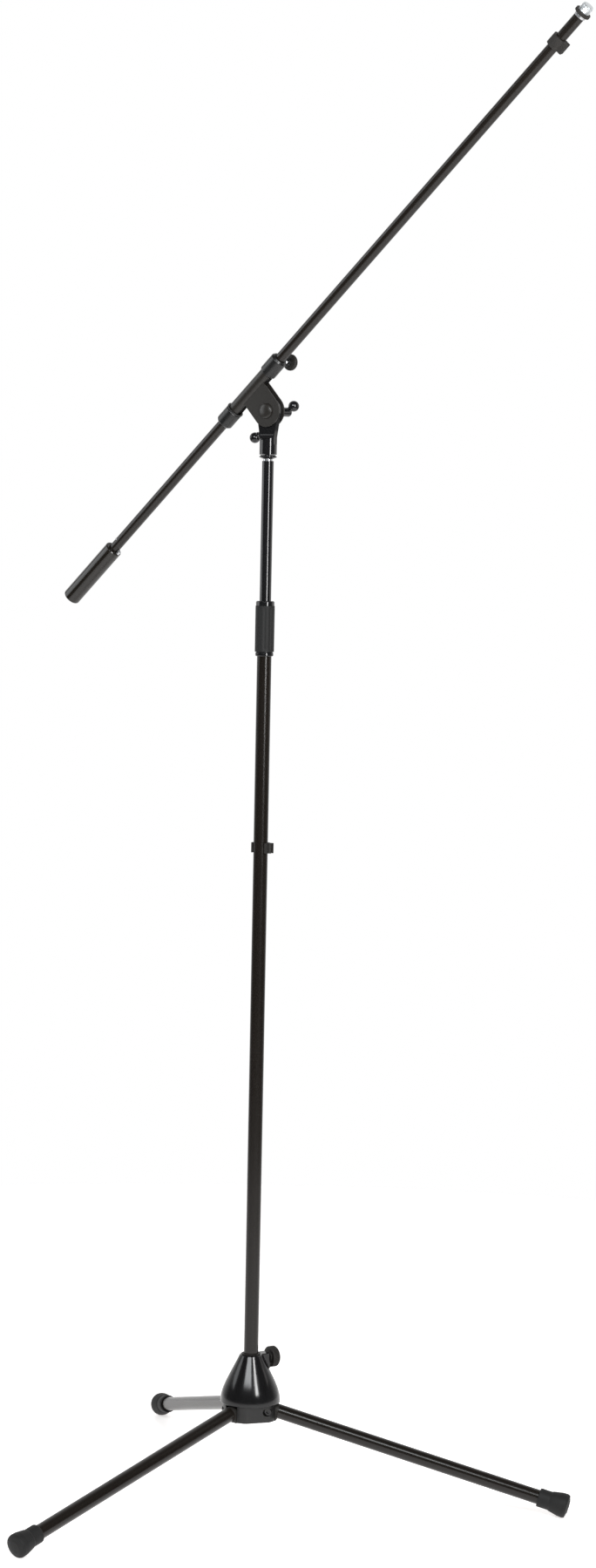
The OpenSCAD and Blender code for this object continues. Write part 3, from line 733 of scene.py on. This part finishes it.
def rod_stud():
    """The plated stud in the rod's top end: a bright ring, then the thread that holds the head."""
    low, high, _, ring = extent("rod_stud", COLUMN)
    top = extent("upper_rod", COLUMN)[1]
    plug = 6.2 * MM
    screw = 4.75 * MM
    seat = top + 2.8 * MM
    outline = [
        (0, low), (plug, low), (plug, top), (ring, top), (ring, seat), (screw, seat),
        (screw, high - 1 * MM), (screw - 1 * MM, high), (0, high),
    ]
    pitch = 1.5875 * MM
    relief = thread(pitch, 0.5 * pitch, top + 3 * MM, high - 1 * MM, screw)
    turned("rod_stud", COLUMN, divide(soften(outline, 0.25 * MM), 0.2 * MM), 64, relief)


def head_lock_nut():
    """A thin ring nut with six notches for a hook spanner."""
    low, high, bore, outer = extent("head_lock_nut", COLUMN)
    foot = 7.5 * MM
    crown = 10.5 * MM
    outline = [
        (bore, low), (foot, low), (outer, low + 2 * MM), (outer, low + 3.4 * MM),
        (crown, high - 1 * MM), (crown, high), (bore, high),
    ]
    notches = ribs(6, 1.3 * MM, low - 1 * MM, high + 1 * MM, outer, power=12.0)
    turned("head_lock_nut", COLUMN, divide(soften(outline, 0.35 * MM), 0.6 * MM), 192, notches)


# ---- Head and clamp ----

def pivot_bolt():
    """A bolt with a domed head, its shank and thread running through the head to the tilt nut."""
    low, high, _, dome = extent("pivot_bolt", TILT)
    seat = low + 4 * MM
    shank = 5 * MM
    screw = 4 * MM
    neck = extent("tilt_nut", TILT)[0] - 0.2 * MM
    rim = seat - 0.7 * MM
    steps = 10
    head = []
    for k in range(steps + 1):
        share = k / steps * math.pi / 2
        head.append((dome * math.sin(share), rim - (rim - low) * math.cos(share), 0.0))
    head += [(dome, seat - 0.2 * MM, 0.5), (dome - 0.2 * MM, seat, 0.0)]
    corners = [(0, seat), (shank, seat), (shank, neck), (screw, neck), (screw, high), (0, high)]
    stem = soften(corners, 0.15 * MM)
    turned("pivot_bolt", TILT, divide(head + stem[3:], 1 * MM))


def pivot_washer():
    """A plain ring washer."""
    low, high, bore, outer = extent("pivot_washer", TILT)
    turned("pivot_washer", TILT, soften(bored(low, high, bore, outer), 0.3 * MM))


COLLAR_RADIUS = 12 * MM
WRAP_RADIUS = 10.15 * MM


def collar_mouth():
    """Radius of the collars' openings round the boom."""
    return extent("boom_tube", BOOM)[3] + 0.4 * MM


def upper_collar():
    """The cap on the clamp's upper end, with a boss for the boom knob's screw."""
    low, high = extent("upper_collar", BOOM)[:2]
    outer = COLLAR_RADIUS
    mouth = collar_mouth()
    step = extent("boom_clamp_bracket", BOOM)[1] + 0.4 * MM
    outline = [
        (WRAP_RADIUS, low), (outer - 0.4 * MM, low), (outer, low + 0.8 * MM), (outer, high - 3 * MM),
        (outer - 2.2 * MM, high), (mouth, high), (mouth, step), (WRAP_RADIUS, step),
    ]
    piece = lathe("upper_collar_visual", BOOM, divide(soften(outline, 0.9 * MM), 3 * MM), 128)
    top = extent("upper_collar", BOOM_KNOB)[1]
    foot = 10.6 * MM
    wide = 5.9 * MM
    slim = 5.5 * MM
    boss = [(0, foot), (wide, foot), (slim + 0.1 * MM, foot + 2 * MM), (slim, top), (0, top)]
    joined = lathe("boss", BOOM_KNOB, divide(soften(boss, 1 * MM), 2 * MM))
    combine(piece, joined, "UNION")
    stands_for(piece, "upper_collar")


def lower_collar():
    """The cap on the clamp's lower end, with a raised lip."""
    low, high, _, lip = extent("lower_collar", BOOM)
    outer = COLLAR_RADIUS
    mouth = collar_mouth()
    step = extent("boom_clamp_bracket", BOOM)[0] - 0.4 * MM
    groove = high - 2.6 * MM
    waist = outer - 0.7 * MM
    outline = [
        (mouth, low), (outer - 2 * MM, low), (outer, low + 2.6 * MM), (outer, groove - 0.8 * MM),
        (waist, groove), (waist, high - 2 * MM), (lip, high - 1.7 * MM), (lip, high),
        (WRAP_RADIUS, high), (WRAP_RADIUS, step), (mouth, step),
    ]
    turned("lower_collar", BOOM, divide(soften(outline, 0.7 * MM), 3 * MM), 128)


def tilt_nut():
    """The nut that clamps the tilt, drilled across for the tommy bar."""
    low, high, _, flange = extent("tilt_nut", TILT)
    body = 6.5 * MM
    depth = extent("pivot_bolt", TILT)[1] + 1 * MM
    screw = 4.08 * MM
    outline = [
        (0, depth), (screw, depth), (screw, low), (flange, low), (flange, low + 3 * MM),
        (body, low + 4.2 * MM), (body, high - 1.2 * MM), (body - 1.4 * MM, high), (0, high),
    ]
    piece = lathe("tilt_nut_visual", TILT, divide(soften(outline, 0.5 * MM), 2 * MM))
    radius = extent("tommy_bar", BAR)[3] + 0.08 * MM
    reach = 2 * body
    hole = [(0, -reach, 0), (radius, -reach, 0), (radius, reach, 0), (0, reach, 0)]
    combine(piece, lathe("drill", BAR, hole, 48), "DIFFERENCE")
    stands_for(piece, "tilt_nut")


def tommy_bar():
    """A plain bar with rounded ends."""
    low, high, _, outer = extent("tommy_bar", BAR)
    outline = [(0, low), (outer, low), (outer, high), (0, high)]
    turned("tommy_bar", BAR, divide(soften(outline, 0.5 * MM), 4 * MM), 64)


def bar_ball(node):
    """A ball on the bar's end, with a short neck towards the middle of the bar."""
    low, high, _, outer = extent(node, BAR)
    centre = (low + high) / 2
    inward = -1 if centre > 0 else 1
    neck = 4.1 * MM
    steps = 32
    first = math.asin(neck / outer)
    arc = []
    for k in range(steps + 1):
        share = first + (math.pi - first) * k / steps
        arc.append((outer * math.sin(share), centre + inward * outer * math.cos(share), 0.0))
    arc[-1] = (0.0, arc[-1][1], 0.0)
    root = centre + inward * (outer + 1.2 * MM)
    lead = [(0.0, root, 0.0), (neck - 0.5 * MM, root, 0.0), (neck, root - inward * 0.5 * MM, 0.5)]
    turned(node, BAR, lead + arc)


def boom_knob():
    """A small moulded knob: a ribbed disc on a slim hub."""
    low, high, _, outer = extent("boom_knob", BOOM_KNOB)
    hub = 5 * MM
    back = high - 6 * MM
    outline = [
        (0, low), (hub, low), (hub, back - 1.2 * MM), (outer - 1.6 * MM, back),
        (outer, back + 1.2 * MM), (outer, high - 1.5 * MM), (outer - 1.6 * MM, high),
        (outer - 3.5 * MM, high), (outer - 4.5 * MM, high - 0.8 * MM), (0, high - 0.8 * MM),
    ]
    rim = ribs(40, 0.4 * MM, back + 0.8 * MM, high - 0.8 * MM, outer)
    turned("boom_knob", BOOM_KNOB, divide(soften(outline, 0.6 * MM), 1.2 * MM), 320, rim)


# ---- Boom ----

def boom_thread_stud():
    """The plated end fitting: a plug in the tube, a bright shoulder and a threaded core."""
    low, high, _, shoulder = extent("boom_thread_stud", BOOM)
    start = extent("boom_tube", BOOM)[1] + 0.05 * MM
    plug = 6.15 * MM
    core = 4.75 * MM
    step = start + 3.95 * MM
    outline = [
        (0, low), (plug, low), (plug, start), (shoulder, start), (shoulder, step), (core, step),
        (core, high), (0, high),
    ]
    turned("boom_thread_stud", BOOM, divide(soften(outline, 0.5 * MM), 3 * MM))


def thread_adapter():
    """The plated adapter: a fine thread cut by lengthwise grooves, a plain neck and a crowned end."""
    low, high, _, outer = extent("thread_adapter", BOOM)
    neck = 7.6 * MM
    pin = low + 4.8 * MM
    end = pin + 9 * MM
    bore = 4.8 * MM
    outline = [
        (0, end - 1.8 * MM), (bore, end - 1.8 * MM), (bore, low), (neck, low), (neck, pin),
        (outer, pin), (outer, end), (outer - 1 * MM, end + 1 * MM), (0, high),
    ]
    grooves = 8
    half = 0.6 * MM
    slope = 0.3 * MM
    depth = 0.6 * MM
    cut = thread(0.94 * MM, 0.28 * MM, pin, end, outer)

    def relief(angle, height, radius):
        if radius < 0.8 * outer or height < pin - TINY:
            return radius
        beside = abs(math.remainder(angle, TAU / grooves)) * outer
        lowered = depth * min(1.0, max(0.0, (half - beside) / slope + 1))
        grooved = outer - lowered if beside < half + slope else radius
        return min(cut(angle, height, radius), grooved)

    turned("thread_adapter", BOOM, divide(soften(outline, 0.3 * MM), 0.16 * MM), 240, relief)


def lock_ring():
    """A thin plastic ring with a ribbed edge."""
    low, high, bore, outer = extent("lock_ring", BOOM)
    outline = divide(soften(bored(low, high, bore, outer), 0.7 * MM), 0.7 * MM)
    rim = ribs(45, 0.3 * MM, low + 0.4 * MM, high - 0.4 * MM, outer)
    turned("lock_ring", BOOM, outline, 360, rim)


def counterweight():
    """A solid steel cylinder with a full round on its outer end, bored for the boom."""
    low, high, _, outer = extent("counterweight", BOOM)
    bore = extent("boom_tube", BOOM)[3] + 0.05 * MM
    seat = extent("boom_tube", BOOM)[0]
    corner = 2.8 * MM
    arc = []
    steps = 8
    for k in range(steps + 1):
        share = k / steps * math.pi / 2
        inward = corner * (1 - math.sin(share))
        arc.append((outer - inward, low + corner * (1 - math.cos(share)), 0.0))
    rest = [
        (0, low), (outer, low + 2 * corner), (outer, high - 1 * MM), (outer - 1 * MM, high),
        (bore, high), (bore, seat), (0, seat),
    ]
    past_first_corner = ARC_STEPS + 2
    outline = [(0, low, 0.0)] + arc + soften(rest, 0.4 * MM)[past_first_corner:]
    turned("counterweight", BOOM, divide(outline, 5 * MM), 128)


def weight_screw():
    """A slotted grub screw that holds the weight on the boom."""
    node = "counterweight_screw"
    lowest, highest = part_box(node)
    axis = place((lowest + highest) / 2, joint_axis("boom_slide"), UP)
    low, high, _, outer = extent(node, axis)
    stem = 2 * MM
    seat = high - 4.95 * MM
    outline = [(0, low), (stem, low), (stem, seat), (outer, seat), (outer, high), (0, high)]
    piece = lathe(node + "_visual", axis, divide(soften(outline, 0.35 * MM), 0.8 * MM), 48)
    half = 0.45 * MM
    reach = 4 * MM
    corners = [(-half, -reach), (half, -reach), (half, reach), (-half, reach)]
    cutter = bmesh.new()
    below = [cutter.verts.new((x, y, high - 1.2 * MM)) for x, y in corners]
    above = [cutter.verts.new((x, y, high + 1 * MM)) for x, y in corners]
    cutter.faces.new(below[::-1])
    cutter.faces.new(above)
    for k in range(4):
        cutter.faces.new((below[k], below[(k + 1) % 4], above[(k + 1) % 4], above[k]))
    combine(piece, new_object("slot_cutter", cutter, axis), "DIFFERENCE")
    stands_for(piece, node)


# ---- All pieces ----

def build_base():
    base_bell()
    mast_guide_bush()
    base_knob()
    threaded_pin("base_knob_screw", BASE_KNOB, 1.25 * MM)
    rounded("leg_hub", 0.7 * MM)
    rounded("leg_screws", 0.25 * MM)
    rounded("hub_screws", 0.2 * MM)
    for side, placement in LEGS.items():
        tube(f"leg_tube_{side}", placement)
        leg_foot(side)
        rounded(f"leg_knuckle_{side}", 0.7 * MM)


def build_column():
    tube("mast_tube", COLUMN)
    tube("upper_rod", COLUMN)
    clutch_body()
    clutch_nut()
    clutch_grip()
    rod_stud()
    head_lock_nut()
    rounded("mast_cable_clip", 0.35 * MM)


def build_head():
    rounded("swivel_head", 0.5 * MM)
    bracket = "boom_clamp_bracket"
    stands_for(refined("clamp_bracket_visual", bracket, 0.3 * MM), bracket)
    pivot_bolt()
    pivot_washer()
    upper_collar()
    lower_collar()
    tilt_nut()
    tommy_bar()
    bar_ball("bar_ball_upper")
    bar_ball("bar_ball_lower")
    boom_knob()
    threaded_pin("boom_knob_screw", BOOM_KNOB, 1 * MM)


def build_boom():
    tube("boom_tube", BOOM)
    boom_thread_stud()
    thread_adapter()
    lock_ring()
    counterweight()
    weight_screw()
    rounded("boom_cable_clip", 0.35 * MM)


def finish_cad_nodes():
    """Gives every CAD node the finish of its slot, as the new pieces have."""
    for node in frame["nodes"].values():
        node.material_slots[0].material = FINISHES[node.data.materials[0].name]


# ---- Camera, light and floor ----

VIEW_PLACE = Vector((2.9495, -3.8536, 1.3597))
VIEW_AZIMUTH = math.radians(126.84)
VIEW_PITCH = math.radians(4.26)
VIEW_ROLL = math.radians(1.133)
VIEW_LENS = 80.82
VIEW_AHEAD = Vector((math.cos(VIEW_AZIMUTH), math.sin(VIEW_AZIMUTH), 0))
VIEW_RIGHT = VIEW_AHEAD.cross(UP)


def camera():
    """A camera that sees the stand as the photo does."""
    ahead = VIEW_AHEAD * math.cos(VIEW_PITCH) - UP * math.sin(VIEW_PITCH)
    above = VIEW_RIGHT.cross(ahead)
    across = math.cos(VIEW_ROLL) * VIEW_RIGHT + math.sin(VIEW_ROLL) * above
    rising = math.cos(VIEW_ROLL) * above - math.sin(VIEW_ROLL) * VIEW_RIGHT
    turn = Matrix((across, rising, -ahead)).transposed()
    data = bpy.data.cameras.new("camera")
    data.lens = VIEW_LENS
    made = bpy.data.objects.new("camera", data)
    made.matrix_world = Matrix.Translation(VIEW_PLACE) @ turn.to_4x4()
    bpy.context.scene.collection.objects.link(made)
    bpy.context.scene.camera = made


def softbox(name, bearing, distance, height, width, tall, radiance, tint=(1, 1, 1)):
    """A rectangular light facing the column, at a bearing in degrees right of the camera's side."""
    turn = math.radians(bearing)
    away = math.sin(turn) * VIEW_RIGHT - math.cos(turn) * VIEW_AHEAD
    data = bpy.data.lights.new(name, "AREA")
    data.shape = "RECTANGLE"
    data.size = width
    data.size_y = tall
    data.color = tint
    data.energy = radiance * width * tall * math.pi
    made = bpy.data.objects.new(name, data)
    turned_in = Matrix((UP.cross(away), UP, away)).transposed()
    made.matrix_world = Matrix.Translation(away * distance + UP * height) @ turned_in.to_4x4()
    made.visible_camera = False
    bpy.context.scene.collection.objects.link(made)


def surroundings():
    """White for the camera; for the object, a bright backdrop behind it and a dark room in front."""
    world = bpy.data.worlds.new("studio")
    bpy.context.scene.world = world
    world.use_nodes = True
    tree = world.node_tree
    tree.nodes.clear()

    def add(kind, **settings):
        node = tree.nodes.new("ShaderNode" + kind)
        for name, value in settings.items():
            setattr(node, name, value)
        return node

    direction = add("TexCoord")
    ahead = add("VectorMath", operation="DOT_PRODUCT")
    ahead.inputs[1].default_value = VIEW_AHEAD
    tree.links.new(direction.outputs["Generated"], ahead.inputs[0])
    ramp = add("ValToRGB")
    room, backdrop = ramp.color_ramp.elements
    room.position = 0.3
    room.color = (0.018, 0.0175, 0.017, 1)
    backdrop.position = 0.88
    backdrop.color = (0.95, 0.95, 0.95, 1)
    beside = ramp.color_ramp.elements.new(0.6)
    beside.color = (0.1, 0.096, 0.093, 1)
    span = add("MapRange")
    span.inputs["From Min"].default_value = -1
    tree.links.new(ahead.outputs["Value"], span.inputs["Value"])
    tree.links.new(span.outputs["Result"], ramp.inputs["Fac"])
    studio = add("Background")
    tree.links.new(ramp.outputs["Color"], studio.inputs["Color"])
    white = add("Background")
    white.inputs["Color"].default_value = (1, 1, 1, 1)
    path = add("LightPath")
    mix = add("MixShader")
    tree.links.new(path.outputs["Is Camera Ray"], mix.inputs[0])
    tree.links.new(studio.outputs[0], mix.inputs[1])
    tree.links.new(white.outputs[0], mix.inputs[2])
    output = add("OutputWorld")
    tree.links.new(mix.outputs[0], output.inputs["Surface"])


def floor():
    """A round white floor that is nearly its own light, so that shadows on it stay faint."""
    radius = 2.3
    drop = 0.05 * MM
    shape = bmesh.new()
    bmesh.ops.create_circle(shape, cap_ends=True, segments=96, radius=radius)
    bmesh.ops.translate(shape, verts=shape.verts, vec=(0, 0, -drop))
    made = new_object("floor", shape)
    material = bpy.data.materials.new("floor_white")
    material.use_nodes = True
    shader = material.node_tree.nodes["Principled BSDF"]
    shader.inputs["Base Color"].default_value = (0.9, 0.9, 0.9, 1)
    shader.inputs["Roughness"].default_value = 0.35
    shader.inputs["Specular IOR Level"].default_value = 0.15
    shader.inputs["Emission Color"].default_value = (1, 0.97, 0.955, 1)
    shader.inputs["Emission Strength"].default_value = 0.6
    made.data.materials.append(material)


def studio():
    """White surroundings, a white floor, and four lights at their bearings round the column."""
    bpy.context.scene.view_settings.view_transform = "Standard"
    surroundings()
    floor()
    cool = (0.95, 0.98, 1.0)
    warm = (1.0, 0.97, 0.95)
    softbox(
        "strip_light", bearing=30, distance=2.4, height=1.9, width=0.5, tall=1.7, radiance=20.0,
    )
    softbox(
        "overhead_light", bearing=-14, distance=2.5, height=2.45, width=1.7, tall=1.0,
        radiance=10.0, tint=cool,
    )
    softbox(
        "left_light", bearing=-97, distance=2.4, height=2.1, width=1.5, tall=2.0, radiance=2.2,
        tint=cool,
    )
    softbox(
        "right_light", bearing=108, distance=2.4, height=2.1, width=1.5, tall=2.0, radiance=0.9,
        tint=warm,
    )


camera()
build_base()
build_column()
build_head()
build_boom()
finish_cad_nodes()
studio()
